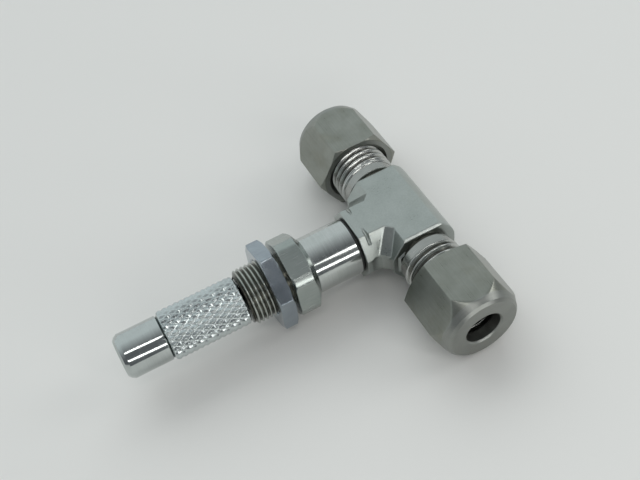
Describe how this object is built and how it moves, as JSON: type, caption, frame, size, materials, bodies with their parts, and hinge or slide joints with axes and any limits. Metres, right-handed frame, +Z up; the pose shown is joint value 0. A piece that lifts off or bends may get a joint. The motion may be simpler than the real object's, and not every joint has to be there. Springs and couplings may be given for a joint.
{
  "type": "needle valve",
  "caption": "Straight metering needle valve with a knurled handle, panel-mount bonnet, and compression fittings for tube at both ends.",
  "frame": {"origin": "bottom centre of the whole valve's box, lying on its side", "axes": "-X along the stem line, from the body towards the handle; -Y along the flow line towards the inlet; +Z up, square to both"},
  "size_m": [0.063, 0.0544, 0.0164],
  "materials": {
    "forged_steel": "forged stainless steel, satin",
    "polished_steel": "turned and polished stainless steel",
    "machined_steel": "machined stainless steel",
    "nut_steel": "machined stainless steel, satin and handled",
    "knurled_steel": "diamond knurled stainless steel, bright",
    "hard_steel": "hardened steel, dark",
    "seal_rubber": "black fluorocarbon rubber",
    "white_plastic": "white fluoropolymer"
  },
  "bodies": {
    "valve": {"valve_body": "forged_steel", "seat_insert": "hard_steel", "bonnet": "polished_steel", "bonnet_seal": "seal_rubber"},
    "stem_seals": {"stem_o_ring": "seal_rubber", "inner_backup_ring": "white_plastic", "outer_backup_ring": "white_plastic", "stem_guide_ring": "white_plastic"},
    "stem_and_handle": {"stem": "machined_steel", "needle": "hard_steel", "handle": "knurled_steel", "set_screw_1": "hard_steel", "set_screw_2": "hard_steel"},
    "panel_nut": {"panel_nut": "nut_steel"},
    "inlet_ferrules": {"inlet_front_ferrule": "machined_steel", "inlet_back_ferrule": "machined_steel"},
    "inlet_nut": {"inlet_nut": "nut_steel"},
    "outlet_ferrules": {"outlet_front_ferrule": "machined_steel", "outlet_back_ferrule": "machined_steel"},
    "outlet_nut": {"outlet_nut": "nut_steel"}
  },
  "joints": [
    {"name": "stem_lift", "type": "slide", "parent": "valve", "child": "stem_seals", "axis": [-1, 0, 0], "range_m": [0, 0.00397]},
    {"name": "stem_turn", "type": "hinge", "parent": "stem_seals", "child": "stem_and_handle", "pos_m": [-0.015, 0, 0.00822], "axis": [-1, 0, 0], "range_deg": [0, 1800]},
    {"name": "panel_nut_turn", "type": "hinge", "parent": "valve", "child": "panel_nut", "pos_m": [-0.00276, 0, 0.00822], "axis": [-1, 0, 0], "range_deg": [-390, 1950]},
    {"name": "inlet_nut_travel", "type": "slide", "parent": "valve", "child": "inlet_ferrules", "axis": [0, -1, 0], "range_m": [0, 0.00381]},
    {"name": "inlet_nut_turn", "type": "hinge", "parent": "inlet_ferrules", "child": "inlet_nut", "pos_m": [0.02328, -0.021, 0.00822], "axis": [0, -1, 0], "range_deg": [0, 1080]},
    {"name": "outlet_nut_travel", "type": "slide", "parent": "valve", "child": "outlet_ferrules", "axis": [0, 1, 0], "range_m": [0, 0.00381]},
    {"name": "outlet_nut_turn", "type": "hinge", "parent": "outlet_ferrules", "child": "outlet_nut", "pos_m": [0.02328, 0.021, 0.00822], "axis": [0, 1, 0], "range_deg": [0, 1080]}
  ],
  "couplings": [
    {"joint": "stem_lift", "follows": "stem_turn", "m_per_rad": 0.00012633},
    {"joint": "inlet_nut_travel", "follows": "inlet_nut_turn", "m_per_rad": 0.00020213},
    {"joint": "outlet_nut_travel", "follows": "outlet_nut_turn", "m_per_rad": 0.00020213}
  ]
}
